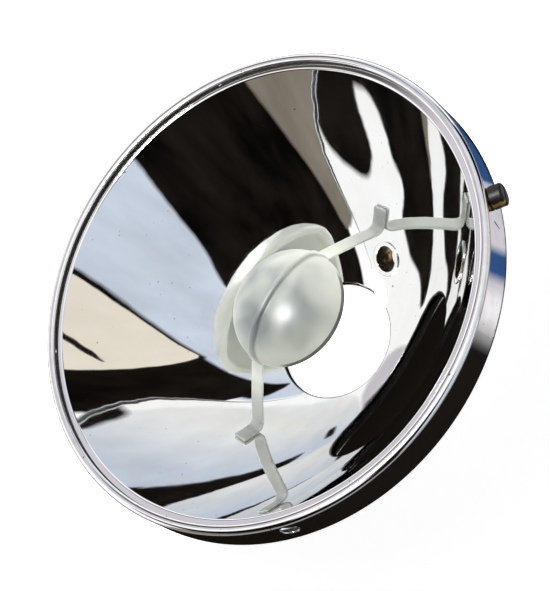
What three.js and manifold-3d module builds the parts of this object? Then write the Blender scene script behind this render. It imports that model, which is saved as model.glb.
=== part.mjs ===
// Reflector head of a flash bulb gun, mouth up, standing on its rear mounting collar.
// Millimetres, +Z out of the mouth. The origin is on the bowl's axis, in the collar's rear face.
// The bowl is a paraboloid, so most profiles below are worked out from its one equation.
import * as THREE from 'three';
import { mergeVertices } from 'three/addons/utils/BufferGeometryUtils.js';
import Module from 'manifold-3d';

const wasm = await Module();
wasm.setup();

// ---- driving dimensions -------------------------------------------------------------------
const RIM_RADIUS = 76; // outside of the bezel hoop at its front
const BACK_RADIUS = 76.3; // outside of the hoop at its back edge, which flares a little
const SKIRT_DEPTH = 12.3; // hoop, front to back
const HOOP_SHEET = 0.75;
const HOOP_CORNER = 1.1; // outer corner between the hoop's front and its skirt
const HOOP_LIP_ROUND = 0.45; // rounding of the front's inner edge
const BEZEL_INNER = 72.9; // inner edge of the hoop's front
const HEM_WIDTH = 3.3; // the hoop's back edge, turned in
const HOLE_RADIUS = 19.6; // hole that the flash bulb comes through
const HOLE_Z = 7; // bowl's inside surface at that hole
const BOWL_DEPTH = 54.4; // from that surface to the front of the hoop
const FOUR_F = 88.56; // four times the focal length
const BOWL_SHEET = 0.8;
const LIP_DROP = 1.8; // bowl's flat lip, below the front of the hoop
const FLANGE_RADIUS = 74.8; // outside of the lip, hidden under the hoop
const FLANGE_ROOT = 0.3; // the lip's underside starts this far outside the mouth
const NOTCH_WIDTH = 6.8; // cut-outs in the lip that clear the captive nuts
const NOTCH_INNER = 72.95;
const GASKET_THICKNESS = 0.5;
const GAP = 0.3; // left between neighbouring pieces
const DRILL_LENGTH = 8; // longer than any wall that is drilled
const COLLAR_BORE = 23.6;
const COLLAR_OUTER = 25;
const COLLAR_FLANGE = 31; // outside of the collar's rear flange
const COLLAR_FLANGE_THICKNESS = 1.4;
const COLLAR_SCREW_CIRCLE = 28;
const COLLAR_SCREW_RADIUS = 1.7;
const SIGHT_ANGLE = -9.5; // degrees round the axis
const SIGHT_RADIUS = 30.8; // from the axis, on the bowl's inside surface
const SIGHT_BORE = 4.1;
const SIGHT_WALL = 0.5;
const SIGHT_FLANGE = 5.6;
const SIGHT_FLANGE_THICKNESS = 0.35;
const SIGHT_SEAT = 0.62; // the flat flange bridges the hollow of the bowl by this much
const SIGHT_LENGTH = 6.5; // behind the bowl's inside surface
const SIGHT_RING = 7; // outside of the push-on ring behind the bowl
const SIGHT_RING_THICKNESS = 0.7;
const FIXING_ANGLE = -45; // the one fixing that is fitted
const FIXING_DROP = 4.6; // centre of the fixing holes, below the front of the hoop
const FIXING_HOLE = 2.8;
const FIXING_HEAD = 3.45;
const FIXING_HEAD_HEIGHT = 3.9;
const FIXING_CAP_END = 1.1; // closed end of the head's cap
const FIXING_CAP_EDGE = 0.5; // bevel round that end
const FIXING_SEAT = 76.35; // underside of the head, from the axis
const FIXING_SHOULDER = 2.5;
const FIXING_THREAD = 1.8;
const NUT_FLATS = 5.6;
const NUT_THICKNESS = 1.25;
const NUT_RADIUS = 74; // from the axis to the middle of a nut
const THREAD_CLEARANCE = 0.08;
const SLIT_ANGLE = -50.9;
const SLIT_DROP = 5.9; // middle of the slit, below the front of the hoop
const SLIT_LENGTH = 3.6;
const SLIT_WIDTH = 0.6;
const SLIT_SLANT = -18; // degrees
const SHADE_RADIUS = 19.2; // frosted dome, outside
const SHADE_HEIGHT = 12.5;
const SHADE_DROP = 24.2; // open edge of the dome, below the front of the hoop
const SHADE_WALL = 1;
const RIB_WIDTH = 1.8;
const RIB_HEIGHT = 1.25; // proud of the dome
const RIB_ROOT = 0.75; // sunk into its wall
const ARM_WIDTH = 5;
const ARM_THICKNESS = 0.9;
const FOOT_RADII = [38.3, 40.6, 43.2]; // where a foot follows the bowl, from the axis
const CLIP_WIRE = 0.55; // radius of the retaining clips' wire
const CLIP_SETBACK = 0.4; // the wire stands this much further off the skirt than it must
const ROUND = 60; // facets round the big rings
const RIM_Z = HOLE_Z + BOWL_DEPTH;
const FIXING_Z = RIM_Z - FIXING_DROP;

// ---- materials ----------------------------------------------------------------------------
function material(color, roughness, metalness) {
  return new THREE.MeshStandardMaterial({ color, roughness, metalness });
}
const chrome = material(0xd9dcdf, 0.08, 1);
const brass = material(0xb08a45, 0.35, 1);
const steel = material(0x9a9da1, 0.4, 1);
const rubber = material(0x26221f, 0.8, 0);
const blackLacquer = material(0x14130f, 0.3, 0);
const frosted = material(0xe4e6de, 0.45, 0);

// ---- small helpers ------------------------------------------------------------------------
const part = new THREE.Group();

function add(name, geometry, finish) {
  const mesh = new THREE.Mesh(geometry, finish);
  mesh.name = name;
  part.add(mesh);
  return mesh;
}

// Turns a closed geometry into a solid that can be cut and joined.
function solid(geometry) {
  const bare = geometry.clone();
  bare.deleteAttribute('normal');
  bare.deleteAttribute('uv');
  const merged = mergeVertices(bare, 1e-4);
  return new wasm.Manifold(
    new wasm.Mesh({
      numProp: 3,
      vertProperties: new Float32Array(merged.attributes.position.array),
      triVerts: new Uint32Array(merged.index.array),
    }),
  );
}

function geometryOf(manifold) {
  const mesh = manifold.getMesh();
  const geometry = new THREE.BufferGeometry();
  geometry.setAttribute('position', new THREE.BufferAttribute(mesh.vertProperties, 3));
  geometry.setIndex(new THREE.BufferAttribute(mesh.triVerts, 1));
  return geometry;
}

// A ring or disc turned about Z from a closed outline of [radius, z] points, anticlockwise.
function turned(outline, facets = ROUND) {
  const closed = [...outline, outline[0]];
  const points = closed.map(([radius, z]) => new THREE.Vector2(radius, z));
  return new THREE.LatheGeometry(points, facets).rotateX(Math.PI / 2);
}

// A piece turned about Z that reaches the axis, from [radius, z] points, bottom to top.
function turnedSolid(outline, facets) {
  const points = outline.map(([radius, z]) => new THREE.Vector2(radius, z));
  return new THREE.LatheGeometry(points, facets).rotateX(Math.PI / 2);
}

function radians(degrees) {
  return (degrees * Math.PI) / 180;
}

// Places a shape made along +Z, so that +Z points outward from the axis at this angle.
function placeRadially(geometry, degrees, radius, z) {
  geometry.rotateY(Math.PI / 2);
  geometry.translate(radius, 0, z);
  return geometry.rotateZ(radians(degrees));
}

// ---- the paraboloid -----------------------------------------------------------------------
function bowlZ(radius) {
  return HOLE_Z + (radius * radius - HOLE_RADIUS * HOLE_RADIUS) / FOUR_F;
}

function bowlSlope(radius) {
  return Math.atan((2 * radius) / FOUR_F);
}

// The point at a distance behind the bowl's inside surface, square to it.
function behindBowl(radius, distance) {
  const slope = bowlSlope(radius);
  return [radius + distance * Math.sin(slope), bowlZ(radius) - distance * Math.cos(slope)];
}

const LIP_Z = RIM_Z - LIP_DROP;
const MOUTH_RADIUS = Math.sqrt((LIP_Z - HOLE_Z) * FOUR_F + HOLE_RADIUS * HOLE_RADIUS);

function bowlPoints(from, to, count, distance) {
  const step = (to - from) / (count - 1);
  return Array.from({ length: count }, (_, i) => behindBowl(from + step * i, distance));
}

// ---- reflector bowl -----------------------------------------------------------------------
const HOOK_TOP = 5.45; // the hole's edge is turned back over the collar
const HOOK_BOTTOM = 4.75;
const HOOK_RADIUS = 22.2;
const WALL_RADIUS = HOLE_RADIUS + BOWL_SHEET;

function bowlOutline() {
  const flangeBack = LIP_Z - BOWL_SHEET;
  const outside = bowlPoints(HOLE_RADIUS + 0.5, MOUTH_RADIUS - 0.8, 12, BOWL_SHEET);
  return [
    [HOLE_RADIUS, HOOK_BOTTOM],
    [HOOK_RADIUS, HOOK_BOTTOM],
    [HOOK_RADIUS, HOOK_TOP],
    [WALL_RADIUS, HOOK_TOP],
    ...outside,
    [MOUTH_RADIUS + FLANGE_ROOT, flangeBack],
    [FLANGE_RADIUS, flangeBack],
    [FLANGE_RADIUS, LIP_Z],
    ...bowlPoints(MOUTH_RADIUS, HOLE_RADIUS, 14, 0),
  ];
}

// A peg square to the bowl's surface at the sight hole, for cutting and for placing.
function placeOnSightAxis(geometry) {
  geometry.rotateY(-bowlSlope(SIGHT_RADIUS));
  geometry.translate(SIGHT_RADIUS, 0, bowlZ(SIGHT_RADIUS));
  return geometry.rotateZ(radians(SIGHT_ANGLE));
}

// A cutter along Z for a round hole, centred on the origin.
function makeDrill(radius, facets) {
  return new THREE.CylinderGeometry(radius, radius, DRILL_LENGTH, facets).rotateX(Math.PI / 2);
}

function fixingAngles() {
  return [0, 1, 2, 3].map((quarter) => FIXING_ANGLE + 90 * quarter);
}

function makeBowl() {
  const drill = makeDrill(SIGHT_BORE + SIGHT_WALL + GAP, 24);
  let bowl = solid(turned(bowlOutline())).subtract(solid(placeOnSightAxis(drill)));
  for (const degrees of fixingAngles()) {
    const notch = new THREE.BoxGeometry(NOTCH_WIDTH, NOTCH_WIDTH, NOTCH_WIDTH);
    notch.translate(NOTCH_INNER + NOTCH_WIDTH / 2, 0, LIP_Z);
    bowl = bowl.subtract(solid(notch.rotateZ(radians(degrees))));
  }
  add('reflector_bowl', geometryOf(bowl), chrome);
}

// ---- bezel hoop ---------------------------------------------------------------------------
function arc(centreRadius, centreZ, radius, fromDegrees, toDegrees, count) {
  const points = [];
  for (let i = 0; i < count; i += 1) {
    const angle = radians(fromDegrees + ((toDegrees - fromDegrees) * i) / (count - 1));
    points.push([centreRadius + radius * Math.cos(angle), centreZ + radius * Math.sin(angle)]);
  }
  return points;
}

function hoopOutline() {
  const back = RIM_Z - SKIRT_DEPTH;
  const cornerZ = RIM_Z - HOOP_CORNER;
  const cornerRadius = RIM_RADIUS - HOOP_CORNER;
  const innerCorner = HOOP_CORNER - HOOP_SHEET;
  return [
    [BACK_RADIUS - HEM_WIDTH, back],
    [BACK_RADIUS, back],
    ...arc(cornerRadius, cornerZ, HOOP_CORNER, 0, 90, 5),
    ...arc(BEZEL_INNER + HOOP_LIP_ROUND, RIM_Z - HOOP_LIP_ROUND, HOOP_LIP_ROUND, 90, 180, 3),
    [BEZEL_INNER, RIM_Z - HOOP_SHEET],
    ...arc(cornerRadius, cornerZ, innerCorner, 90, 0, 3),
    [BACK_RADIUS - HOOP_SHEET, back + HOOP_SHEET],
    [BACK_RADIUS - HEM_WIDTH, back + HOOP_SHEET],
  ];
}

function makeHoop() {
  let hoop = solid(turned(hoopOutline()));
  for (const degrees of fixingAngles()) {
    const drill = placeRadially(makeDrill(FIXING_HOLE, 24), degrees, RIM_RADIUS, FIXING_Z);
    hoop = hoop.subtract(solid(drill));
  }
  const slit = new THREE.BoxGeometry(DRILL_LENGTH / 2, SLIT_WIDTH, SLIT_LENGTH);
  slit.rotateX(radians(SLIT_SLANT)).translate(RIM_RADIUS, 0, RIM_Z - SLIT_DROP);
  hoop = hoop.subtract(solid(slit.rotateZ(radians(SLIT_ANGLE))));
  add('bezel_hoop', geometryOf(hoop), chrome);
}

// ---- what holds the bowl in the hoop ------------------------------------------------------
function makeGasket() {
  const middle = (LIP_Z + RIM_Z - HOOP_SHEET) / 2;
  const bottom = middle - GASKET_THICKNESS / 2;
  const top = middle + GASKET_THICKNESS / 2;
  const inner = BEZEL_INNER + 0.1;
  const outer = FLANGE_RADIUS - GAP;
  const outline = [[inner, bottom], [outer, bottom], [outer, top], [inner, top]];
  add('seat_gasket', turned(outline), rubber);
}

// A W of spring wire, sprung between the bowl's flange and the hoop's turned-in back edge.
function makeClips() {
  const low = RIM_Z - SKIRT_DEPTH + HOOP_SHEET + 2 * GAP + CLIP_WIRE;
  const high = LIP_Z - BOWL_SHEET - 2 * GAP - CLIP_WIRE;
  const radius = BACK_RADIUS - HOOP_SHEET - GAP - CLIP_WIRE - CLIP_SETBACK;
  const stops = [[-13, low], [-10, low], [-6, high], [-3, high], [0, (low + high) / 2]];
  const mirrored = stops.slice(0, 4).reverse().map(([degrees, z]) => [-degrees, z]);
  const path = [...stops, ...mirrored].map(([degrees, z]) => {
    const angle = radians(degrees);
    return new THREE.Vector3(radius * Math.cos(angle), radius * Math.sin(angle), z);
  });
  const curve = new THREE.CatmullRomCurve3(path, false, 'centripetal');
  const section = new THREE.Shape();
  for (let i = 0; i < 6; i += 1) {
    const angle = (i * Math.PI) / 3;
    const x = CLIP_WIRE * Math.cos(angle);
    const y = CLIP_WIRE * Math.sin(angle);
    if (i === 0) section.moveTo(x, y);
    else section.lineTo(x, y);
  }
  section.closePath();
  for (let i = 0; i < 4; i += 1) {
    const wire = new THREE.ExtrudeGeometry(section, { steps: 28, extrudePath: curve });
    wire.rotateZ(radians(90 * i));
    add(`retaining_clip_${i + 1}`, wire, steel);
  }
}

// ---- sight hole ---------------------------------------------------------------------------
function makeSight() {
  const outer = SIGHT_BORE + SIGHT_WALL;
  const face = SIGHT_SEAT + SIGHT_FLANGE_THICKNESS;
  const sleeve = turned([
    [SIGHT_BORE, -SIGHT_LENGTH],
    [outer, -SIGHT_LENGTH],
    [outer, SIGHT_SEAT],
    [SIGHT_FLANGE, SIGHT_SEAT],
    [SIGHT_FLANGE, face],
    [SIGHT_BORE + 0.2, face + 0.1],
    [SIGHT_BORE, face - 0.15],
  ], 24);
  add('sight_sleeve', placeOnSightAxis(sleeve), brass);
  const inner = outer + GAP;
  const top = -BOWL_SHEET - GAP;
  const bottom = top - SIGHT_RING_THICKNESS;
  const outline = [[inner, bottom], [SIGHT_RING, bottom], [SIGHT_RING, top], [inner, top]];
  add('sight_retaining_ring', placeOnSightAxis(turned(outline, 24)), steel);
}

// ---- rear mounting collar -----------------------------------------------------------------
// Its front face follows the back of the bowl.
function collarTop(radius) {
  return bowlZ(radius) - (BOWL_SHEET + GAP) / Math.cos(bowlSlope(radius));
}

function makeCollar() {
  const inner = WALL_RADIUS + GAP;
  const hookClear = HOOK_TOP + GAP;
  const profile = [
    [COLLAR_BORE, 0],
    [COLLAR_FLANGE, 0],
    [COLLAR_FLANGE, COLLAR_FLANGE_THICKNESS],
    [COLLAR_OUTER, COLLAR_FLANGE_THICKNESS],
    [COLLAR_OUTER, collarTop(COLLAR_OUTER)],
    [inner, collarTop(inner)],
    [inner, hookClear],
    [COLLAR_BORE, hookClear],
  ];
  let collar = solid(turned(profile));
  for (let i = 0; i < 3; i += 1) {
    const drill = makeDrill(COLLAR_SCREW_RADIUS, 16).translate(COLLAR_SCREW_CIRCLE, 0, 0);
    collar = collar.subtract(solid(drill.rotateZ(radians(90 + 120 * i))));
  }
  add('mount_collar', geometryOf(collar), blackLacquer);
}

// ---- fixing screw and nuts ----------------------------------------------------------------
// Turned brass screw with a lacquered cap pressed on its head.
function makeScrew() {
  const shoulderEnd = NUT_RADIUS + NUT_THICKNESS / 2 + GAP - FIXING_SEAT;
  const tip = NUT_RADIUS - NUT_THICKNESS / 2 - FIXING_SEAT;
  const bore = FIXING_THREAD + GAP;
  const boreEnd = FIXING_HEAD_HEIGHT - FIXING_CAP_END;
  const cap = turnedSolid([
    [0, boreEnd],
    [bore, boreEnd],
    [bore, 0],
    [FIXING_HEAD, 0],
    [FIXING_HEAD, FIXING_HEAD_HEIGHT - FIXING_CAP_EDGE],
    [FIXING_HEAD - FIXING_CAP_EDGE, FIXING_HEAD_HEIGHT],
    [0, FIXING_HEAD_HEIGHT],
  ], 28);
  const placedCap = placeRadially(cap, FIXING_ANGLE, FIXING_SEAT, FIXING_Z);
  add('screw_head_cap', placedCap, blackLacquer);
  const screw = turnedSolid([
    [0, tip],
    [FIXING_THREAD, tip],
    [FIXING_THREAD, shoulderEnd],
    [FIXING_SHOULDER, shoulderEnd],
    [FIXING_SHOULDER, -GAP],
    [FIXING_THREAD, -GAP],
    [FIXING_THREAD, boreEnd - GAP],
    [0, boreEnd - GAP],
  ], 24);
  add('fixing_screw', placeRadially(screw, FIXING_ANGLE, FIXING_SEAT, FIXING_Z), brass);
}

// One captive nut inside the hoop at each of its holes.
function makeNuts() {
  const corner = NUT_FLATS / Math.sqrt(3);
  const drill = makeDrill(FIXING_THREAD + THREAD_CLEARANCE, 20);
  fixingAngles().forEach((degrees, i) => {
    const block = new THREE.CylinderGeometry(corner, corner, NUT_THICKNESS, 6);
    const nut = geometryOf(solid(block.rotateX(Math.PI / 2)).subtract(solid(drill)));
    add(`fixing_nut_${i + 1}`, placeRadially(nut, degrees, NUT_RADIUS, FIXING_Z), steel);
  });
}

// ---- frosted shade ------------------------------------------------------------------------
// A band of even thickness along a run of [x, z] points, as a closed outline.
function bandOutline(run, thickness) {
  const left = [];
  const right = [];
  run.forEach(([x, z], i) => {
    const [x0, z0] = run[Math.max(i - 1, 0)];
    const [x1, z1] = run[Math.min(i + 1, run.length - 1)];
    const length = Math.hypot(x1 - x0, z1 - z0);
    const sideX = (-(z1 - z0) / length) * (thickness / 2);
    const sideZ = ((x1 - x0) / length) * (thickness / 2);
    left.push(new THREE.Vector2(x + sideX, z + sideZ));
    right.push(new THREE.Vector2(x - sideX, z - sideZ));
  });
  return new THREE.Shape([...right, ...left.reverse()]);
}

// The band given its width across Y, standing in the XZ plane.
function band(run, thickness, width) {
  const geometry = new THREE.ExtrudeGeometry(bandOutline(run, thickness), {
    depth: width,
    bevelEnabled: false,
  });
  return solid(geometry.translate(0, 0, -width / 2).rotateX(Math.PI / 2));
}

function domeArc(radius, height, z, count) {
  const points = [];
  for (let i = 0; i < count; i += 1) {
    const angle = (Math.PI / 2) * (i / (count - 1));
    points.push([radius * Math.cos(angle), z + height * Math.sin(angle)]);
  }
  points[count - 1][0] = 0;
  return points;
}

// Middle of an arm's thickness: out and down from the dome, round a bend and up the bowl's wall.
function armRun() {
  const arm = [[18, 23.3], [28.4, 33.5], [33.4, 39], [34.9, 40.8], [36.2, 41.55]];
  return [
    ...arm.map(([x, depth]) => [x, RIM_Z - depth]),
    ...FOOT_RADII.map((radius) => behindBowl(radius, -(ARM_THICKNESS / 2 + GAP))),
  ];
}

function makeShade() {
  const edge = RIM_Z - SHADE_DROP;
  const outside = domeArc(SHADE_RADIUS, SHADE_HEIGHT, edge, 10);
  const inside = domeArc(SHADE_RADIUS - SHADE_WALL, SHADE_HEIGHT - SHADE_WALL, edge, 10);
  let shade = solid(turnedSolid([...inside.reverse(), ...outside], 36));
  const ribMiddle = (RIB_HEIGHT - RIB_ROOT) / 2;
  const half = domeArc(SHADE_RADIUS + ribMiddle, SHADE_HEIGHT + ribMiddle, edge, 10);
  const otherHalf = half.slice(0, 9).reverse().map(([x, z]) => [-x, z]);
  shade = shade.add(band([...half, ...otherHalf], RIB_HEIGHT + RIB_ROOT, RIB_WIDTH));
  const arm = armRun();
  const otherArm = arm.map(([x, z]) => [-x, z]).reverse();
  shade = shade.add(band(arm, ARM_THICKNESS, ARM_WIDTH));
  shade = shade.add(band(otherArm, ARM_THICKNESS, ARM_WIDTH));
  add('frosted_shade', geometryOf(shade), frosted);
}

makeBowl();
makeHoop();
makeGasket();
makeClips();
makeSight();
makeCollar();
makeScrew();
makeNuts();
makeShade();

export default part;
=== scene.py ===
import math

import bmesh
import bpy
from mathutils import Matrix, Vector


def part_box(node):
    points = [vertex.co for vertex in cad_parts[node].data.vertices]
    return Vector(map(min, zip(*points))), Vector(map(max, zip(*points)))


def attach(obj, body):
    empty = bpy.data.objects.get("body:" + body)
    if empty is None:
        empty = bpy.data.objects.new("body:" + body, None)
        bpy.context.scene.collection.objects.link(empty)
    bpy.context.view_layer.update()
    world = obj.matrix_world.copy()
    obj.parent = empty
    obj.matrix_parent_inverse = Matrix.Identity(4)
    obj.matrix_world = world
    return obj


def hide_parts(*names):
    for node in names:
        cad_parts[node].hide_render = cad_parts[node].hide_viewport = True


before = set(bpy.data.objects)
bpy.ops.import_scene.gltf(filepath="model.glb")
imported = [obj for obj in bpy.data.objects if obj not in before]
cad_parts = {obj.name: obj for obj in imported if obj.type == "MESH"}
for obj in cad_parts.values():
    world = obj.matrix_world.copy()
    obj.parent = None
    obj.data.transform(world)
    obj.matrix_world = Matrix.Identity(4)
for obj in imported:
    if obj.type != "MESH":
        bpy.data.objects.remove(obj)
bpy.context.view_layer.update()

# Reflector head of a flash bulb gun. Lengths in this script are millimetres, and meshes are
# written in metres. The large sizes come from the frame; the small ones repeat the CAD source.
# The bowl's axis is Z, and the shade's arms lie along X.
MM = 0.001


def reach(node):
    """(lowest, highest) corner of a CAD node, in millimetres."""
    low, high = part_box(node)
    return low / MM, high / MM


HOOP_LOW, HOOP_HIGH = reach("bezel_hoop")
BOWL_LOW, BOWL_HIGH = reach("reflector_bowl")
GASKET_LOW, GASKET_HIGH = reach("seat_gasket")
COLLAR_HIGH = reach("mount_collar")[1]

RIM_Z = HOOP_HIGH.z
HOOP_BACK_Z = HOOP_LOW.z
BACK_RADIUS = HOOP_HIGH.x
RIM_RADIUS = BACK_RADIUS - 0.3
FLANGE_RADIUS = BOWL_HIGH.x
LIP_Z = BOWL_HIGH.z
HOOK_Z = BOWL_LOW.z
GAP = 0.3

HOLE_RADIUS = 19.6
HOLE_Z = 7.0
FOUR_F = 88.56
BOWL_SHEET = 0.8
HOOP_SHEET = 0.75
BEZEL_INNER = 72.9
HEM_WIDTH = 3.3
MOUTH_RADIUS = math.sqrt((LIP_Z - HOLE_Z) * FOUR_F + HOLE_RADIUS**2)
HOOK_RADIUS = 22.2
FIXING_ANGLES = (-45, 45, 135, 225)
FIXING_Z = RIM_Z - 4.6
FIXING_HOLE = 2.8
SIGHT_ANGLE = -9.5
SIGHT_RADIUS = 30.8
SIGHT_BORE = 4.1
SIGHT_WALL = 0.5
SHADE_EDGE_Z = RIM_Z - 24.2
SHARP_ANGLE = 42

# Radians: the middle of the dark line painted along the shade's edge as painted shade, about Z,
# and of the worn streak on the screw's cap, about the screw's own axis.
EDGE_SHADE_SIDE = -math.pi / 2
WORN_SIDE = -1.9


# ---- meshes ---------------------------------------------------------------------------------
def arc(centre, radius, start, end, steps):
    """Points of an arc round (r, z) from one angle to another, in degrees."""
    points = []
    for i in range(steps + 1):
        angle = math.radians(start + (end - start) * i / steps)
        points.append((centre[0] + radius * math.cos(angle), centre[1] + radius * math.sin(angle)))
    return points


def rounded(corners, steps=6):
    """A closed outline from (x, y) or (x, y, radius) corners, each radius turned into an arc."""
    points = []
    count = len(corners)
    for i, corner in enumerate(corners):
        here = Vector(corner[:2])
        if len(corner) == 2:
            points.append(tuple(here))
            continue
        before = Vector(corners[i - 1][:2]) - here
        after = Vector(corners[(i + 1) % count][:2]) - here
        half = before.angle(after) / 2
        reach_back = min(corner[2] / math.tan(half), 0.49 * before.length, 0.49 * after.length)
        radius = reach_back * math.tan(half)
        middle = here + (before.normalized() + after.normalized()).normalized() * radius / math.sin(half)
        start = here + before.normalized() * reach_back - middle
        turn = math.pi - 2 * half
        if before.x * after.y - before.y * after.x > 0:
            turn = -turn
        for k in range(steps + 1):
            angle = turn * k / steps
            c, s = math.cos(angle), math.sin(angle)
            points.append((middle.x + start.x * c - start.y * s, middle.y + start.x * s + start.y * c))
    return points


def about(axis, degrees):
    """A turn about one of the axes."""
    return Matrix.Rotation(math.radians(degrees), 4, axis)


def direction(azimuth, height=0):
    """The unit vector at an azimuth from +X and a height above the floor, in degrees."""
    a, h = math.radians(azimuth), math.radians(height)
    return Vector((math.cos(a) * math.cos(h), math.sin(a) * math.cos(h), math.sin(h)))


def in_scene(name, data):
    """A new object in the scene that holds a mesh, a lamp or a camera."""
    thing = bpy.data.objects.new(name, data)
    bpy.context.scene.collection.objects.link(thing)
    return thing


def new_piece(name, mesh, body, node):
    """A mesh in millimetres becomes a piece that rides on a body and stands for its CAD node."""
    mesh.transform(Matrix.Scale(MM, 4))
    mesh.polygons.foreach_set("use_smooth", [True] * len(mesh.polygons))
    mesh.set_sharp_from_angle(angle=math.radians(SHARP_ANGLE))
    piece = in_scene(name, mesh)
    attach(piece, body)
    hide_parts(node)
    return piece


def finished(mesh, *materials):
    """The mesh with these materials and no others."""
    mesh.materials.clear()
    for material in materials:
        mesh.materials.append(material)
    return mesh


def mesh_from(name, build):
    """Runs build(bm) and returns its mesh, with the faces pointing outward."""
    bm = bmesh.new()
    build(bm)
    bmesh.ops.remove_doubles(bm, verts=bm.verts, dist=1e-5)
    bmesh.ops.recalc_face_normals(bm, faces=bm.faces)
    mesh = bpy.data.meshes.new(name)
    bm.to_mesh(mesh)
    bm.free()
    return mesh


def revolve(bm, outline, segments, matrix=None, closed=True, shape=None):
    """Turns (r, z) points about Z. A closed outline makes a ring; an open one meets the axis.

    shape(r, z, angle) may move each point as it goes round."""
    rings = []
    for i in range(segments):
        angle = 2 * math.pi * i / segments
        c, s = math.cos(angle), math.sin(angle)
        points = [shape(r, z, angle) for r, z in outline] if shape else outline
        rings.append([bm.verts.new((r * c, r * s, z)) for r, z in points])
    count = len(outline)
    last = count if closed else count - 1
    for i in range(segments):
        a, b = rings[i], rings[(i + 1) % segments]
        for j in range(last):
            k = (j + 1) % count
            if outline[j][0] < 1e-6:
                bm.faces.new((a[j], b[k], a[k]))
            elif outline[k][0] < 1e-6:
                bm.faces.new((a[j], b[j], a[k]))
            else:
                bm.faces.new((a[j], b[j], b[k], a[k]))
    if matrix is not None:
        bm.transform(matrix)


def sweep(bm, path, ups, sections):
    """Carries (side, up) section points along a path. ups gives the way up at each point."""
    rings = []
    for i, (point, up, section) in enumerate(zip(path, ups, sections)):
        ahead = path[min(i + 1, len(path) - 1)] - path[max(i - 1, 0)]
        side = ahead.cross(up).normalized()
        lift = side.cross(ahead).normalized()
        rings.append([bm.verts.new(point + side * x + lift * y) for x, y in section])
    for a, b in zip(rings, rings[1:]):
        for j in range(len(a)):
            k = (j + 1) % len(a)
            bm.faces.new((a[j], a[k], b[k], b[j]))
    bm.faces.new(rings[0])
    bm.faces.new(rings[-1])


def softened(points, rounds=3):
    """An open run of points with its corners cut again and again, until they are curves."""
    points = [Vector(p) for p in points]
    for _ in range(rounds):
        inner = []
        for a, b in zip(points, points[1:]):
            inner += [a.lerp(b, 0.25), a.lerp(b, 0.75)]
        points = [points[0], *inner[1:-1], points[-1]]
    return points


def combined(operation, mesh, others, finish=None):
    """The mesh with closed meshes cut out of it or joined to it.

    finish(object) may add more modifiers before the result is taken."""
    target = in_scene("target", mesh)
    helpers = [target]
    for other in others:
        helpers.append(in_scene("helper", other))
        modifier = target.modifiers.new(operation, "BOOLEAN")
        modifier.operation = operation
        modifier.solver = "EXACT"
        modifier.object = helpers[-1]
    if finish:
        finish(target)
    graph = bpy.context.evaluated_depsgraph_get()
    result = bpy.data.meshes.new_from_object(target.evaluated_get(graph))
    for helper in helpers:
        bpy.data.objects.remove(helper)
    return result


def cut(mesh, cutters):
    return combined("DIFFERENCE", mesh, cutters)


def keep_true_normals(mesh, normal_at, tolerance=3.5):
    """Gives each face corner on a known surface that surface's own normal, to mirror cleanly.

    normal_at(point, face_normal) returns the true normal there, or None off the surface."""
    near = math.cos(math.radians(tolerance))
    normals = [Vector((0, 0, 0))] * len(mesh.loops)
    for face in mesh.polygons:
        for loop in face.loop_indices:
            point = mesh.vertices[mesh.loops[loop].vertex_index].co
            true = normal_at(point, face.normal)
            if true is not None and true.dot(face.normal) > near:
                normals[loop] = true
    mesh.normals_split_custom_set(normals)


# ---- the paraboloid -------------------------------------------------------------------------
def bowl_z(radius):
    return HOLE_Z + (radius * radius - HOLE_RADIUS * HOLE_RADIUS) / FOUR_F


def bowl_slope(radius):
    return math.atan(2 * radius / FOUR_F)


def behind_bowl(radius, distance):
    """(r, z) of the point this far behind the bowl's inside surface, square to it."""
    slope = bowl_slope(radius)
    return radius + distance * math.sin(slope), bowl_z(radius) - distance * math.cos(slope)


def bowl_run(start, end, steps, distance):
    return [behind_bowl(start + (end - start) * i / steps, distance) for i in range(steps + 1)]


def bowl_normal(point, _):
    """The inside surface's normal, or None off that surface."""
    point = point / MM
    radius = math.hypot(point.x, point.y)
    if abs(bowl_z(radius) - point.z) > 0.02 or not HOLE_RADIUS < radius < MOUTH_RADIUS + 0.01:
        return None
    return Vector((-2 * point.x / FOUR_F, -2 * point.y / FOUR_F, 1)).normalized()


def radial(angle, radius=0.0, z=0.0):
    """Moves a shape made along +Z so that +Z points out from the axis at this angle."""
    return about("Z", angle) @ Matrix.Translation((radius, 0, z)) @ about("Y", 90)


def on_sight_axis():
    """Moves a shape made along +Z onto the sight hole's axis, square to the bowl."""
    tilt = Matrix.Rotation(-bowl_slope(SIGHT_RADIUS), 4, "Y")
    out = Matrix.Translation((SIGHT_RADIUS, 0, bowl_z(SIGHT_RADIUS)))
    return about("Z", SIGHT_ANGLE) @ out @ tilt


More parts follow.
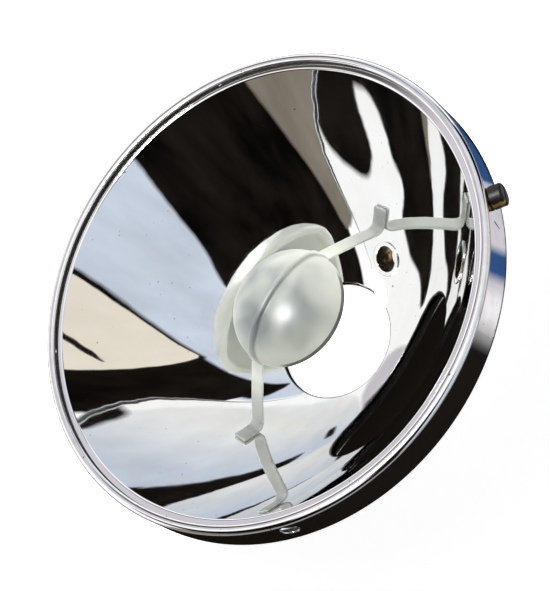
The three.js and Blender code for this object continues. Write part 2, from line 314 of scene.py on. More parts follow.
# ---- node helpers ---------------------------------------------------------------------------
class Nodes:
    """A new material's nodes, with short calls for the few kinds that are used here."""

    def __init__(self, name):
        self.material = bpy.data.materials.new(name)
        self.material.use_nodes = True
        self.tree = self.material.node_tree
        self.shader = self.tree.nodes["Principled BSDF"]
        self.place = self.tree.nodes.new("ShaderNodeTexCoord").outputs["Object"]

    def add(self, kind, **settings):
        node = self.tree.nodes.new(kind)
        for key, value in settings.items():
            setattr(node, key, value)
        return node

    def link(self, source, target):
        self.tree.links.new(source, target)

    def set(self, **values):
        """Constants on the shader's own sockets, such as Base_Color for Base Color."""
        for key, value in values.items():
            self.shader.inputs[key.replace("_", " ")].default_value = value

    def noise(self, scale, detail=4.0, roughness=0.55, place=None, distortion=0.0):
        node = self.add("ShaderNodeTexNoise")
        node.inputs["Scale"].default_value = scale
        node.inputs["Detail"].default_value = detail
        node.inputs["Roughness"].default_value = roughness
        node.inputs["Distortion"].default_value = distortion
        self.link(place or self.place, node.inputs["Vector"])
        return node.outputs["Fac"]

    def ramp(self, value, stops):
        """Colours at places along a value from 0 to 1."""
        node = self.add("ShaderNodeValToRGB")
        elements = node.color_ramp.elements
        elements.remove(elements[1])
        elements[0].position = stops[0][0]
        for position, _ in stops[1:]:
            elements.new(position)
        for element, (_, colour) in zip(elements, stops):
            element.color = (*colour, 1.0)
        self.link(value, node.inputs["Fac"])
        return node.outputs["Color"]

    def span(self, value, low, high, to_low, to_high):
        """The value from low to high mapped onto to_low to to_high, and held outside."""
        node = self.add("ShaderNodeMapRange")
        for key, number in (("From Min", low), ("From Max", high), ("To Min", to_low), ("To Max", to_high)):
            node.inputs[key].default_value = number
        self.link(value, node.inputs["Value"])
        return node.outputs["Result"]

    def maths(self, operation, *values):
        node = self.add("ShaderNodeMath", operation=operation)
        for socket, value in zip(node.inputs, values):
            if isinstance(value, (int, float)):
                socket.default_value = value
            else:
                self.link(value, socket)
        return node.outputs[0]

    def mix(self, factor, first, second):
        """A colour between two, each a colour or a socket."""
        node = self.add("ShaderNodeMix", data_type="RGBA")
        for socket, value in zip((node.inputs[0], node.inputs[6], node.inputs[7]), (factor, first, second)):
            if isinstance(value, (int, float)):
                socket.default_value = value
            elif isinstance(value, tuple):
                socket.default_value = (*value, 1.0)
            else:
                self.link(value, socket)
        return node.outputs[2]

    def polar(self, place=None):
        """(distance from the Z axis, angle round it in radians, height), in metres."""
        node = self.add("ShaderNodeSeparateXYZ")
        self.link(place or self.place, node.inputs[0])
        x, y, z = node.outputs
        square = self.maths("ADD", self.maths("MULTIPLY", x, x), self.maths("MULTIPLY", y, y))
        return self.maths("SQRT", square), self.maths("ARCTAN2", y, x), z

    def joined(self, x, y, z):
        node = self.add("ShaderNodeCombineXYZ")
        for socket, value in zip(node.inputs, (x, y, z)):
            if isinstance(value, (int, float)):
                socket.default_value = value
            else:
                self.link(value, socket)
        return node.outputs[0]

    def bump(self, height, distance, strength=1.0):
        node = self.add("ShaderNodeBump")
        node.inputs["Distance"].default_value = distance
        node.inputs["Strength"].default_value = strength
        self.link(height, node.inputs["Height"])
        self.link(node.outputs["Normal"], self.shader.inputs["Normal"])

    def colour(self, socket):
        self.link(socket, self.shader.inputs["Base Color"])

    def roughness(self, socket):
        self.link(socket, self.shader.inputs["Roughness"])


# ---- materials ------------------------------------------------------------------------------
def around(n, across, along):
    """A place for noise drawn out round the Z axis: fine across it, long along it, with no seam."""
    distance, angle, height = n.polar()
    east = n.maths("MULTIPLY", n.maths("COSINE", angle), along)
    north = n.maths("MULTIPLY", n.maths("SINE", angle), along)
    out = n.maths("MULTIPLY", n.maths("ADD", distance, height), across)
    return n.joined(east, north, out)


def mirror_chrome():
    """Polished plating: haze, wipe marks round the bowl, pin specks, and a thin dark ring of painted shade
    at the hole's edge.
    """
    n = Nodes("mirror_chrome")
    n.set(Metallic=1.0)
    haze = n.noise(55, detail=5)
    wipes = n.noise(1.0, detail=3, place=around(n, 2600, 7))
    specks = n.span(n.noise(620, detail=2), 0.73, 0.78, 0, 1)
    clean = n.ramp(haze, [(0.35, (0.93, 0.935, 0.94)), (0.75, (0.89, 0.885, 0.87))])
    # Painted shade: a thin dark ring at the hole's edge, for the edge's dark outline.
    dark_hole_edge = n.span(n.polar()[0], (HOLE_RADIUS + 0.3) * MM, (HOLE_RADIUS + 0.5) * MM, 0.9, 0)
    plating = n.mix(dark_hole_edge, clean, (0.05, 0.045, 0.04))
    n.colour(n.mix(specks, plating, (0.32, 0.28, 0.23)))
    soft = n.span(haze, 0.4, 0.8, 0.012, 0.04)
    n.roughness(n.maths("ADD", soft, n.span(wipes, 0.5, 0.85, 0, 0.03)))
    n.bump(n.noise(95, detail=1.5), 0.00002)
    return n.material


def hoop_chrome():
    """The hoop's plating, a little more handled: hairline scratches and small dull marks."""
    n = Nodes("hoop_chrome")
    n.set(Metallic=1.0)
    scratches = n.noise(1.0, detail=6, roughness=0.7, place=around(n, 5200, 30))
    marks = n.noise(240, detail=3)
    specks = n.span(n.noise(900, detail=1), 0.74, 0.78, 0, 1)
    clean = n.ramp(marks, [(0.4, (0.9, 0.9, 0.905)), (0.8, (0.82, 0.81, 0.79))])
    n.colour(n.mix(specks, clean, (0.3, 0.26, 0.2)))
    n.roughness(n.span(marks, 0.35, 0.8, 0.035, 0.12))
    n.bump(scratches, 0.0000025)
    return n.material


def spun_chrome():
    """The bowl's back: plated over the marks of metal spinning, and dull."""
    n = Nodes("spun_chrome")
    n.set(Metallic=1.0, Anisotropic=0.35)
    grooves = n.noise(1.0, detail=4, roughness=0.6, place=around(n, 3300, 2.5))
    stains = n.noise(48, detail=6, roughness=0.65)
    bright, grey, brown = (0.66, 0.66, 0.66), (0.56, 0.56, 0.55), (0.44, 0.42, 0.38)
    n.colour(n.ramp(stains, [(0.3, bright), (0.6, grey), (0.8, brown)]))
    n.roughness(n.span(stains, 0.3, 0.75, 0.2, 0.42))
    n.bump(grooves, 0.000018)
    return n.material


def rubber():
    """Perished seat gasket: brown-black, with fine cracks and dust."""
    n = Nodes("rubber")
    dust = n.noise(900, detail=5)
    cracks = n.noise(1.0, detail=5, roughness=0.7, place=around(n, 900, 160))
    n.colour(n.ramp(dust, [(0.35, (0.022, 0.016, 0.012)), (0.7, (0.07, 0.052, 0.038))]))
    n.roughness(n.span(dust, 0.3, 0.8, 0.6, 0.9))
    n.bump(cracks, 0.00008)
    return n.material


def aged_brass(name, dark, brown, bright):
    """Turned brass gone brown, brighter where it is rubbed."""
    n = Nodes(name)
    n.set(Metallic=1.0)
    patina = n.noise(420, detail=6, roughness=0.62)
    n.colour(n.ramp(patina, [(0.3, dark), (0.52, brown), (0.75, bright)]))
    n.roughness(n.span(patina, 0.3, 0.75, 0.5, 0.22))
    n.bump(n.noise(3800, detail=3), 0.00001)
    return n.material


def dark_steel():
    """Blued spring steel with rubbed and lightly rusted patches."""
    n = Nodes("dark_steel")
    n.set(Metallic=1.0)
    wear = n.noise(520, detail=6, roughness=0.6)
    rust = n.span(n.noise(170, detail=6), 0.6, 0.72, 0, 0.85)
    blued, dull, rubbed = (0.06, 0.065, 0.08), (0.17, 0.175, 0.19), (0.42, 0.42, 0.42)
    steel = n.ramp(wear, [(0.35, blued), (0.6, dull), (0.78, rubbed)])
    n.colour(n.mix(rust, steel, (0.17, 0.075, 0.03)))
    n.roughness(n.span(rust, 0, 0.85, 0.3, 0.72))
    n.bump(wear, 0.00002)
    return n.material


def plated_steel():
    """Dull zinc-plated washer stock with turning lines and grey bloom."""
    n = Nodes("plated_steel")
    n.set(Metallic=1.0)
    bloom = n.noise(380, detail=6)
    n.colour(n.ramp(bloom, [(0.3, (0.38, 0.385, 0.4)), (0.7, (0.62, 0.62, 0.6))]))
    n.roughness(n.span(bloom, 0.3, 0.75, 0.48, 0.27))
    n.bump(n.noise(2600, detail=2), 0.000012)
    return n.material


def black_lacquer(name, worn_at=None):
    """Black stoved lacquer over brass, orange-peel gloss, rubbed through along worn_at(n)."""
    n = Nodes(name)
    n.set(Specular_IOR_Level=0.28)
    grime_and_edge_shade = n.noise(700, detail=6)
    lacquer = n.ramp(grime_and_edge_shade, [(0.35, (0.003, 0.0027, 0.0025)), (0.75, (0.016, 0.012, 0.009))])
    wear = n.span(n.noise(1500, detail=5, roughness=0.7), 0.7, 0.76, 0, 0.6)
    if worn_at:
        wear = n.maths("MAXIMUM", wear, worn_at(n))
    n.colour(n.mix(wear, lacquer, (0.46, 0.33, 0.07)))
    n.link(wear, n.shader.inputs["Metallic"])
    n.roughness(n.span(grime_and_edge_shade, 0.3, 0.8, 0.36, 0.5))
    n.bump(n.noise(1100, detail=3), 0.000012)
    return n.material


def frosted_plastic():
    """Milky moulded plastic, translucent, satin, with a faint yellow cast; its colour carries painted light
    and shade.
    """
    n = Nodes("frosted_plastic")
    n.set(Subsurface_Weight=1.0, Subsurface_Radius=(1.0, 0.98, 0.88), Subsurface_Scale=0.004)
    n.set(Specular_IOR_Level=0.6, IOR=1.5)
    shade_patches = n.noise(60, detail=1.5, distortion=0.4)
    fine = n.noise(1500, detail=4)
    distance, angle, height = n.polar()
    # Painted shade and light: darker noise patches stand for the dark surroundings seen through the
    # plastic, the dome is painted lighter towards its edge, and the thin arms are painted darker.
    milky = n.mix(n.span(shade_patches, 0.38, 0.62, 0, 1), (0.15, 0.17, 0.18), (0.40, 0.41, 0.39))
    wall = (SHADE_RADIUS - 0.4) * MM
    edge = n.span(distance, 0.011, wall, 0, 0.65)
    arms = n.span(distance, 0.024, 0.031, 0, 0.9)
    body = n.mix(edge, milky, (0.38, 0.39, 0.35))
    body = n.mix(arms, body, (0.185, 0.195, 0.19))
    # Painted shade: a near-black line along the near part of the open edge, on the side towards the hole.
    near_hole = n.span(n.maths("ABSOLUTE", n.maths("SUBTRACT", angle, EDGE_SHADE_SIDE)), 0.95, 1.1, 1, 0)
    low = n.span(height, (SHADE_EDGE_Z + 1.9) * MM, (SHADE_EDGE_Z + 2.2) * MM, 1, 0)
    outside = n.span(distance, wall - 0.0006, wall - 0.0002, 0, 0.95)
    grime_and_edge_shade = n.maths("MULTIPLY", n.maths("MULTIPLY", near_hole, low), outside)
    n.colour(n.mix(grime_and_edge_shade, body, (0.004, 0.004, 0.004)))
    n.roughness(n.span(fine, 0.3, 0.7, 0.33, 0.40))
    n.bump(fine, 0.000006)
    return n.material


# ---- bowl and hoop --------------------------------------------------------------------------
def bowl_outline():
    """The bowl's section: mirror side, flat lip, back, and the edge of the hole turned outward."""
    hook_top = HOOK_Z + 0.7
    wall = HOLE_RADIUS + BOWL_SHEET
    flange_back = LIP_Z - BOWL_SHEET
    return rounded([
        (HOLE_RADIUS, HOOK_Z, 0.5),
        (HOOK_RADIUS, HOOK_Z, 0.33),
        (HOOK_RADIUS, hook_top, 0.33),
        (wall, hook_top, 0.25),
        (wall, bowl_z(wall) - BOWL_SHEET / math.cos(bowl_slope(wall)), 0.35),
        *bowl_run(wall + 0.3, MOUTH_RADIUS - 0.9, 52, BOWL_SHEET),
        (MOUTH_RADIUS + 0.3, flange_back, 0.5),
        (FLANGE_RADIUS, flange_back, 0.2),
        (FLANGE_RADIUS, LIP_Z, 0.2),
        (MOUTH_RADIUS, LIP_Z, 0.9),
        *bowl_run(MOUTH_RADIUS - 0.6, HOLE_RADIUS + 0.7, 64, 0),
        (HOLE_RADIUS, HOLE_Z, 0.6),
    ], steps=12)


def make_bowl(mirror, back):
    """Reflector bowl, with the sight hole and the lip's four notches cut out of it."""
    notch_width = 6.8
    notch_inner = 72.95
    mesh = mesh_from("bowl", lambda bm: revolve(bm, bowl_outline(), 360))
    hole = SIGHT_BORE + SIGHT_WALL + GAP
    drill_outline = [(0, -4), (hole, -4), (hole, 4), (0, 4)]
    drills = [mesh_from("drill", lambda bm: revolve(bm, drill_outline, 96, on_sight_axis(), closed=False))]
    for angle in FIXING_ANGLES:
        out = Matrix.Translation((notch_inner + notch_width / 2, 0, LIP_Z))
        size = about("Z", angle) @ out @ Matrix.Scale(notch_width, 4)
        drills.append(mesh_from("notch", lambda bm, m=size: bmesh.ops.create_cube(bm, size=1, matrix=m)))
    mesh = finished(cut(mesh, drills), mirror, back)
    for face in mesh.polygons:
        radius = math.hypot(face.center.x, face.center.y)
        middle = bowl_z(radius) - BOWL_SHEET / 2 / math.cos(bowl_slope(radius))
        is_back = radius > HOLE_RADIUS + 0.2 and face.center.z < min(middle, LIP_Z - 0.1)
        face.material_index = 1 if is_back else 0
    piece = new_piece("reflector_bowl_shell", mesh, "head", "reflector_bowl")
    keep_true_normals(piece.data, bowl_normal)


def hoop_outline():
    """The hoop's section: crowned front, skirt with a little flare, back edge turned in."""
    crown = Vector((RIM_RADIUS - 1.65, RIM_Z - 1.5))
    outer = [(crown.x + 1.65 * c, crown.y + 1.5 * s) for c, s in arc((0, 0), 1, 0, 90, 14)]
    inner = [(crown.x + 1.45 * c, RIM_Z - 0.62 + 0.62 * s) for c, s in arc((0, 0), 1, 96, 168, 9)]
    inside = BACK_RADIUS - HOOP_SHEET
    skirt_steps = 8
    rise = (crown.y - HOOP_BACK_Z) / skirt_steps
    flare = (BACK_RADIUS - RIM_RADIUS) / skirt_steps
    skirt = [(BACK_RADIUS - flare * i, HOOP_BACK_Z + rise * i) for i in range(1, skirt_steps)]
    return rounded([
        (BACK_RADIUS - HEM_WIDTH, HOOP_BACK_Z, 0.35),
        (BACK_RADIUS, HOOP_BACK_Z, 0.8),
        *skirt,
        *outer,
        *inner,
        (BEZEL_INNER, RIM_Z - HOOP_SHEET, 0.15),
        (RIM_RADIUS - HOOP_SHEET - 0.2, RIM_Z - HOOP_SHEET - 0.1, 0.6),
        (inside, HOOP_BACK_Z + HOOP_SHEET, 0.3),
        (BACK_RADIUS - HEM_WIDTH, HOOP_BACK_Z + HOOP_SHEET, 0.35),
    ])


def hoop_normal(point, face_normal):
    """The outside of the skirt, between its rounded back edge and its crowned front."""
    point = point / MM
    radius = math.hypot(point.x, point.y)
    on_skirt = HOOP_BACK_Z + 0.78 < point.z < RIM_Z - 1.49
    if not on_skirt or radius < RIM_RADIUS - 0.05 or face_normal.x * point.x + face_normal.y * point.y < 0:
        return None
    tilt = (BACK_RADIUS - RIM_RADIUS) / (RIM_Z - 1.5 - HOOP_BACK_Z)
    return Vector((point.x / radius, point.y / radius, tilt)).normalized()


def punch(radius, edge):
    """A cutter along Z for a punched hole whose edge is rolled in where it meets z = 0."""
    rolled = arc((radius + edge, -edge), edge, 180, 95, 7)
    return [(0, -3), (radius, -3), *rolled, (radius + edge, 2), (0, 2)]


def slit_cutter(bm):
    """A short slanted slot through the skirt, with round ends."""
    width, length, slant, drop, azimuth = 0.6, 3.6, -18, 5.9, -50.9
    half = length / 2 - width / 2
    section = [(x, y + half) for x, y in arc((0, 0), width / 2, 0, 180, 10)]
    section += [(x, y - half) for x, y in arc((0, 0), width / 2, 180, 360, 10)]
    out = Matrix.Translation((RIM_RADIUS, 0, RIM_Z - drop))
    place = about("Z", azimuth) @ out @ about("X", slant)
    near = [bm.verts.new(place @ Vector((-2, x, y))) for x, y in section]
    far = [bm.verts.new(place @ Vector((2, x, y))) for x, y in section]
    bm.faces.new(near)
    bm.faces.new(far)
    for i in range(len(section)):
        k = (i + 1) % len(section)
        bm.faces.new((near[i], near[k], far[k], far[i]))


def make_hoop(chrome):
    """Bezel hoop with its four rolled-edge holes and the slanted slit."""
    mesh = mesh_from("hoop", lambda bm: revolve(bm, hoop_outline(), 480))
    drills = [mesh_from("slit", slit_cutter)]
    outline = punch(FIXING_HOLE, 0.35)
    for angle in FIXING_ANGLES:
        place = radial(angle, RIM_RADIUS + 0.13, FIXING_Z)
        drills.append(mesh_from("drill", lambda bm, m=place: revolve(bm, outline, 64, m, closed=False)))
    mesh = finished(cut(mesh, drills), chrome)
    piece = new_piece("bezel_hoop_band", mesh, "head", "bezel_hoop")
    keep_true_normals(piece.data, hoop_normal)


def make_gasket(finish):
    """Rubber ring squeezed between the bowl's lip and the hoop."""
    outline = rounded([
        (BEZEL_INNER + 0.1, GASKET_LOW.z, 0.12),
        (GASKET_HIGH.x, GASKET_LOW.z, 0.12),
        (GASKET_HIGH.x, GASKET_HIGH.z, 0.12),
        (BEZEL_INNER + 0.1, GASKET_HIGH.z, 0.12),
    ], steps=3)
    mesh = finished(mesh_from("gasket", lambda bm: revolve(bm, outline, 240)), finish)
    new_piece("seat_gasket_ring", mesh, "head", "seat_gasket")


# ---- clips, nuts and screw ------------------------------------------------------------------
CLIP_WIRE = 0.55
NUT_FLATS = 5.6
NUT_THICKNESS = 1.25
NUT_RADIUS = 74
SCREW_SEAT = 76.35
THREAD_RADIUS = 1.8
CAP_RADIUS = 3.45
CAP_HEIGHT = 3.9


def clip_wire(bm, middle):
    """A W of spring wire between the bowl's lip and the hoop's turned-in back edge."""
    low = HOOP_BACK_Z + HOOP_SHEET + 2 * GAP + CLIP_WIRE
    high = LIP_Z - BOWL_SHEET - 2 * GAP - CLIP_WIRE
    radius = BACK_RADIUS - HOOP_SHEET - GAP - CLIP_WIRE - 0.4
    half = [(-13, low), (-12.9, low), (-10, low), (-6, high), (-3, high)]
    stops = [*half, (0, (low + high) / 2), *[(-degrees, z) for degrees, z in reversed(half)]]
    path, ups, sections = [], [], []
    for degrees, z in softened(stops):
        angle = math.radians(middle + degrees)
        outward = Vector((math.cos(angle), math.sin(angle), 0))
        path.append(outward * radius + Vector((0, 0, z)))
        ups.append(outward)
        ground_end = abs(degrees) > 12.995
        sections.append(arc((0, 0), CLIP_WIRE * (0.75 if ground_end else 1), 0, 337.5, 15))
    sweep(bm, path, ups, sections)


def make_clips(finish):
    """Four clips, each halfway between two fixings."""
    for i in range(4):
        mesh = finished(mesh_from("clip", lambda bm, angle=90 * i: clip_wire(bm, angle)), finish)
        new_piece(f"clip_wire_{i + 1}", mesh, "head", f"retaining_clip_{i + 1}")


def nut_shape(r, z, angle):
    """Moves the outermost points of a turned blank out to a hexagon with chamfered corners."""
    if r < NUT_FLATS / 2:
        return r, z
    turned = math.degrees(angle) % 60 - 30
    corner = NUT_FLATS / 2 / math.cos(math.radians(turned))
    drop = (corner - NUT_FLATS / 2 + 0.04) * math.tan(math.radians(30))
    return corner, math.copysign(NUT_THICKNESS / 2 - drop, z)


def make_nuts(finish):
    """Captive hexagon nuts, one inside the hoop at each hole."""
    half = NUT_THICKNESS / 2
    bore = THREAD_RADIUS + 0.08
    face = NUT_FLATS / 2 - 0.04
    outline = [
        (bore, -half + 0.2),
        (bore + 0.2, -half),
        (face, -half),
        (NUT_FLATS / 2, -half),
        (NUT_FLATS / 2, half),
        (face, half),
        (bore + 0.2, half),
        (bore, half - 0.2),
    ]
    for i, angle in enumerate(FIXING_ANGLES):
        place = radial(angle, NUT_RADIUS, FIXING_Z)
        mesh = mesh_from("nut", lambda bm, m=place: revolve(bm, outline, 72, m, shape=nut_shape))
        mesh = finished(mesh, finish)
        new_piece(f"hexagon_nut_{i + 1}", mesh, "head", f"fixing_nut_{i + 1}")


def make_screw(brass):
    """Turned brass screw: thread, shoulder in the hoop's hole, and the stem under the cap."""
    tip = NUT_RADIUS - NUT_THICKNESS / 2 - SCREW_SEAT
    shoulder_end = NUT_RADIUS + NUT_THICKNESS / 2 + GAP - SCREW_SEAT
    pitch, depth, steps = 0.45, 0.2, 36
    run = [(THREAD_RADIUS, tip + (shoulder_end - tip) * i / steps) for i in range(1, steps + 1)]

    def thread(r, z, angle):
        if r != THREAD_RADIUS or z > shoulder_end - 0.05:
            return r, z
        turn = (z / pitch - angle / (2 * math.pi)) % 1
        return r - depth * abs(2 * turn - 1), z

    outline = [
        (0, tip),
        (THREAD_RADIUS - 0.3, tip),
        *run,
        (2.4, shoulder_end),
        (2.5, shoulder_end + 0.1),
        (2.5, -GAP - 0.1),
        (2.4, -GAP),
        (THREAD_RADIUS - 0.001, -GAP),
        (THREAD_RADIUS - 0.001, 2.3),
        (THREAD_RADIUS - 0.2, 2.5),
        (0, 2.5),
    ]
    place = radial(FIXING_ANGLES[0], SCREW_SEAT, FIXING_Z)
    mesh = mesh_from("screw", lambda bm: revolve(bm, outline, 64, place, closed=False, shape=thread))
    new_piece("brass_screw", finished(mesh, brass), "screw", "fixing_screw")


def make_cap(lacquer):
    """Black cap of the screw's head: bevelled end with a screwdriver slot."""
    bore = THREAD_RADIUS + GAP
    outline = rounded([
        (0, CAP_HEIGHT - 1.1),
        (bore, CAP_HEIGHT - 1.1),
        (bore, 0, 0.15),
        (CAP_RADIUS, 0, 0.2),
        (CAP_RADIUS, CAP_HEIGHT - 0.5, 0.35),
        (CAP_RADIUS - 0.5, CAP_HEIGHT, 0.35),
        (0, CAP_HEIGHT),
    ])
    blank = mesh_from("cap", lambda bm: revolve(bm, outline, 128, closed=False))
    size = Matrix.Translation((0, 0, CAP_HEIGHT)) @ Matrix.Diagonal((0.85, 9, 1.3, 1))
    slot = mesh_from("slot", lambda bm: bmesh.ops.create_cube(bm, size=1, matrix=size))
    mesh = finished(cut(blank, [slot]), lacquer)
    mesh.transform(radial(FIXING_ANGLES[0], SCREW_SEAT, FIXING_Z))
    new_piece("screw_cap", mesh, "screw", "screw_head_cap")


def worn_streak(n):
    """The lacquer worn off along one side of the cap, but not inward over its end."""
    node = n.add("ShaderNodeMapping", vector_type="TEXTURE")
    place = radial(FIXING_ANGLES[0], SCREW_SEAT, FIXING_Z)
    node.inputs["Location"].default_value = place.translation * MM
    node.inputs["Rotation"].default_value = place.to_euler()
    n.link(n.place, node.inputs["Vector"])
    distance, angle, _ = n.polar(node.outputs["Vector"])
    edge = n.maths("MULTIPLY", n.noise(900, detail=4), 0.5)
    away = n.maths("ABSOLUTE", n.maths("SUBTRACT", angle, WORN_SIDE))
    streak = n.span(n.maths("ADD", away, edge), 0.34, 0.46, 0.9, 0)
    near_rim = n.span(distance, (CAP_RADIUS - 0.9) * MM, (CAP_RADIUS - 0.4) * MM, 0, 1)
    return n.maths("MULTIPLY", streak, near_rim)


# ---- sight hole and collar ------------------------------------------------------------------
def make_sleeve(plated, brass):
    """Open brass sleeve in the sight hole, with a thin plated flange spun over on the bowl."""
    outer = SIGHT_BORE + SIGHT_WALL
    seat, flange, back = 0.1, 5.6, -6.5
    face = seat + 0.35
    slope = bowl_slope(SIGHT_RADIUS)
    along = 2 / FOUR_F * math.cos(slope) ** 3
    across = 2 / FOUR_F * math.cos(slope)

    def spun_over(r, z, angle):
        if z < 0:
            return r, z
        bend = along * math.cos(angle) ** 2 + across * math.sin(angle) ** 2
        return r, z + bend * r * r / 2

    outline = rounded([
        (SIGHT_BORE, back, 0.12),
        (outer, back, 0.12),
        (outer, seat),
        (flange, seat, 0.1),
        (flange, face, 0.22),
        (SIGHT_BORE + 0.1, face + 0.1, 0.3),
        (SIGHT_BORE, face - 0.3),
    ])
    mesh = mesh_from("sleeve", lambda bm: revolve(bm, outline, 128, shape=spun_over))
    mesh = finished(mesh, brass, plated)
    for polygon in mesh.polygons:
        radius = math.hypot(polygon.center.x, polygon.center.y)
        on_flange = polygon.center.z > seat and radius > SIGHT_BORE + 0.12
        polygon.material_index = 1 if on_flange else 0
    mesh.transform(on_sight_axis())
    new_piece("sight_eyelet", mesh, "head", "sight_sleeve")


def make_sight_ring(finish):
    """Push-on spring ring behind the bowl, its bore slotted into teeth."""
    inner = SIGHT_BORE + SIGHT_WALL + GAP
    top = -BOWL_SHEET - GAP
    bottom = top - 0.7
    outline = rounded([
        (inner, bottom, 0.1),
        (7, bottom, 0.15),
        (7, top, 0.15),
        (inner, top, 0.1),
    ], steps=3)

    def toothed(r, z, angle):
        slotted = angle * 10 / (2 * math.pi) % 1 > 0.78
        return (r + 0.8, z) if slotted and r < inner + 0.2 else (r, z)

    mesh = mesh_from("ring", lambda bm: revolve(bm, outline, 200, on_sight_axis(), shape=toothed))
    mesh = finished(mesh, finish)
    new_piece("sight_spring_ring", mesh, "head", "sight_retaining_ring")


def make_collar(lacquer):
    """Rear collar: its front follows the bowl's back, its flange has three countersunk holes."""
    bore, outer, flange, thickness = 23.6, 25, COLLAR_HIGH.x, 1.4
    inner = HOLE_RADIUS + BOWL_SHEET + GAP
    below_bowl = lambda radius: bowl_z(radius) - (BOWL_SHEET + GAP) / math.cos(bowl_slope(radius))
    hook_clear = 5.75
    outline = rounded([
        (bore, 0, 0.3),
        (flange, 0, 0.3),
        (flange, thickness, 0.3),
        (outer, thickness, 0.5),
        (outer, below_bowl(outer), 0.2),
        (inner, below_bowl(inner), 0.1),
        (inner, hook_clear, 0.1),
        (bore, hook_clear, 0.3),
    ])
    mesh = mesh_from("collar", lambda bm: revolve(bm, outline, 256))
    screw_angles, screw_circle, hole, head = (90, 210, 330), 28, 1.7, 2.5
    drill = [(0, -1), (hole, -1), (hole, thickness - 0.7), (head, thickness + 0.1), (head, 2), (0, 2)]
    drills = []
    for angle in screw_angles:
        place = about("Z", angle) @ Matrix.Translation((screw_circle, 0, 0))
        drills.append(mesh_from("drill", lambda bm, m=place: revolve(bm, drill, 48, m, closed=False)))
    mesh = finished(cut(mesh, drills), lacquer)
    new_piece("rear_collar", mesh, "head", "mount_collar")


# ---- frosted shade --------------------------------------------------------------------------
SHADE_RADIUS = 19.2
SHADE_HEIGHT = 12.5
SHADE_WALL = 1.0
ARM_WIDTH = 5
ARM_THICKNESS = 0.9
RIB_WIDTH = 1.8


def ellipse(width, height, start, end, steps):
    """(r, z) points on the shade's dome or a shell beside it, by angle from its open edge."""
    unit = arc((0, 0), 1, start, end, steps)
    return [(width * x, SHADE_EDGE_Z + height * y) for x, y in unit]


def dome(bm):
    """The shade's cap, with a rounded open edge."""
    outside = ellipse(SHADE_RADIUS, SHADE_HEIGHT, 4, 90, 48)
    inside = ellipse(SHADE_RADIUS - SHADE_WALL, SHADE_HEIGHT - SHADE_WALL, 90, 3, 48)
    middle = SHADE_RADIUS - SHADE_WALL / 2
    edge = arc((middle, SHADE_EDGE_Z + SHADE_WALL / 2), SHADE_WALL / 2, 180, 360, 8)
    outside[-1] = (0, outside[-1][1])
    inside[0] = (0, inside[0][1])
    revolve(bm, [*inside, *edge, *outside], 160, closed=False)


def rib(bm):
    """The rib over the crown: as wide as the arms at its ends, narrow and round on top."""
    rise, root = 1.25, 0.75
    path, ups, sections = [], [], []
    for degrees in range(2, 179, 4):
        angle = math.radians(degrees)
        x, z = SHADE_RADIUS * math.cos(angle), SHADE_EDGE_Z + SHADE_HEIGHT * math.sin(angle)
        path.append(Vector((x, 0, z)))
        ups.append(Vector((math.cos(angle) / SHADE_RADIUS, 0, math.sin(angle) / SHADE_HEIGHT)))
        from_end = min(degrees, 180 - degrees) / 34
        blend = 3 * min(from_end, 1) ** 2 - 2 * min(from_end, 1) ** 3
        half = (ARM_WIDTH + (RIB_WIDTH - ARM_WIDTH) * blend) / 2
        height = rise * (0.35 + 0.65 * blend)
        sections.append(rounded([
            (-half, -root),
            (half, -root),
            (half, height, 0.8),
            (-half, height, 0.8),
        ], steps=5))
    sweep(bm, path, ups, sections)


def arm(bm, side):
    """One spring arm: out and down from the dome, round a bend and up along the bowl's wall."""
    bends = [(18, 23.3), (28.4, 33.5), (33.4, 39), (34.9, 40.8), (36.2, 41.55)]
    foot = (38.3, 40.6, 43.2)
    run = [(x, RIM_Z - depth) for x, depth in bends]
    run += [behind_bowl(radius, -(ARM_THICKNESS / 2 + GAP)) for radius in foot]
    points = softened(run)
    path = [Vector((side * x, 0, z)) for x, z in points]
    ups = []
    for i, point in enumerate(path):
        ahead = path[min(i + 1, len(path) - 1)] - path[max(i - 1, 0)]
        ups.append(Vector((-ahead.z, 0, ahead.x)))
    half, thin = ARM_WIDTH / 2, ARM_THICKNESS / 2
    section = rounded([(-half, -thin, 0.2), (half, -thin, 0.2), (half, thin, 0.35), (-half, thin, 0.35)])
    sweep(bm, path, ups, [section] * len(path))


def make_shade(finish):
    """Dome, rib and arms moulded as one: joined, then their meeting lines smoothed."""
    others = [mesh_from("rib", rib)]
    others += [mesh_from("arm", lambda bm, s=side: arm(bm, s)) for side in (-1, 1)]

    def smoothed(target):
        remesh = target.modifiers.new("remesh", "REMESH")
        remesh.mode = "VOXEL"
        remesh.voxel_size = 0.26
        smooth = target.modifiers.new("smooth", "SMOOTH")
        smooth.factor = 0.5
        smooth.iterations = 5

    mesh = combined("UNION", mesh_from("dome", dome), others, smoothed)
    mesh = finished(mesh, finish)
    new_piece("moulded_shade", mesh, "shade", "frosted_shade")


# ---- floor, light and camera ----------------------------------------------------------------
CENTRE = Vector((0, 0, 30))
CARD_DISTANCE = 2000


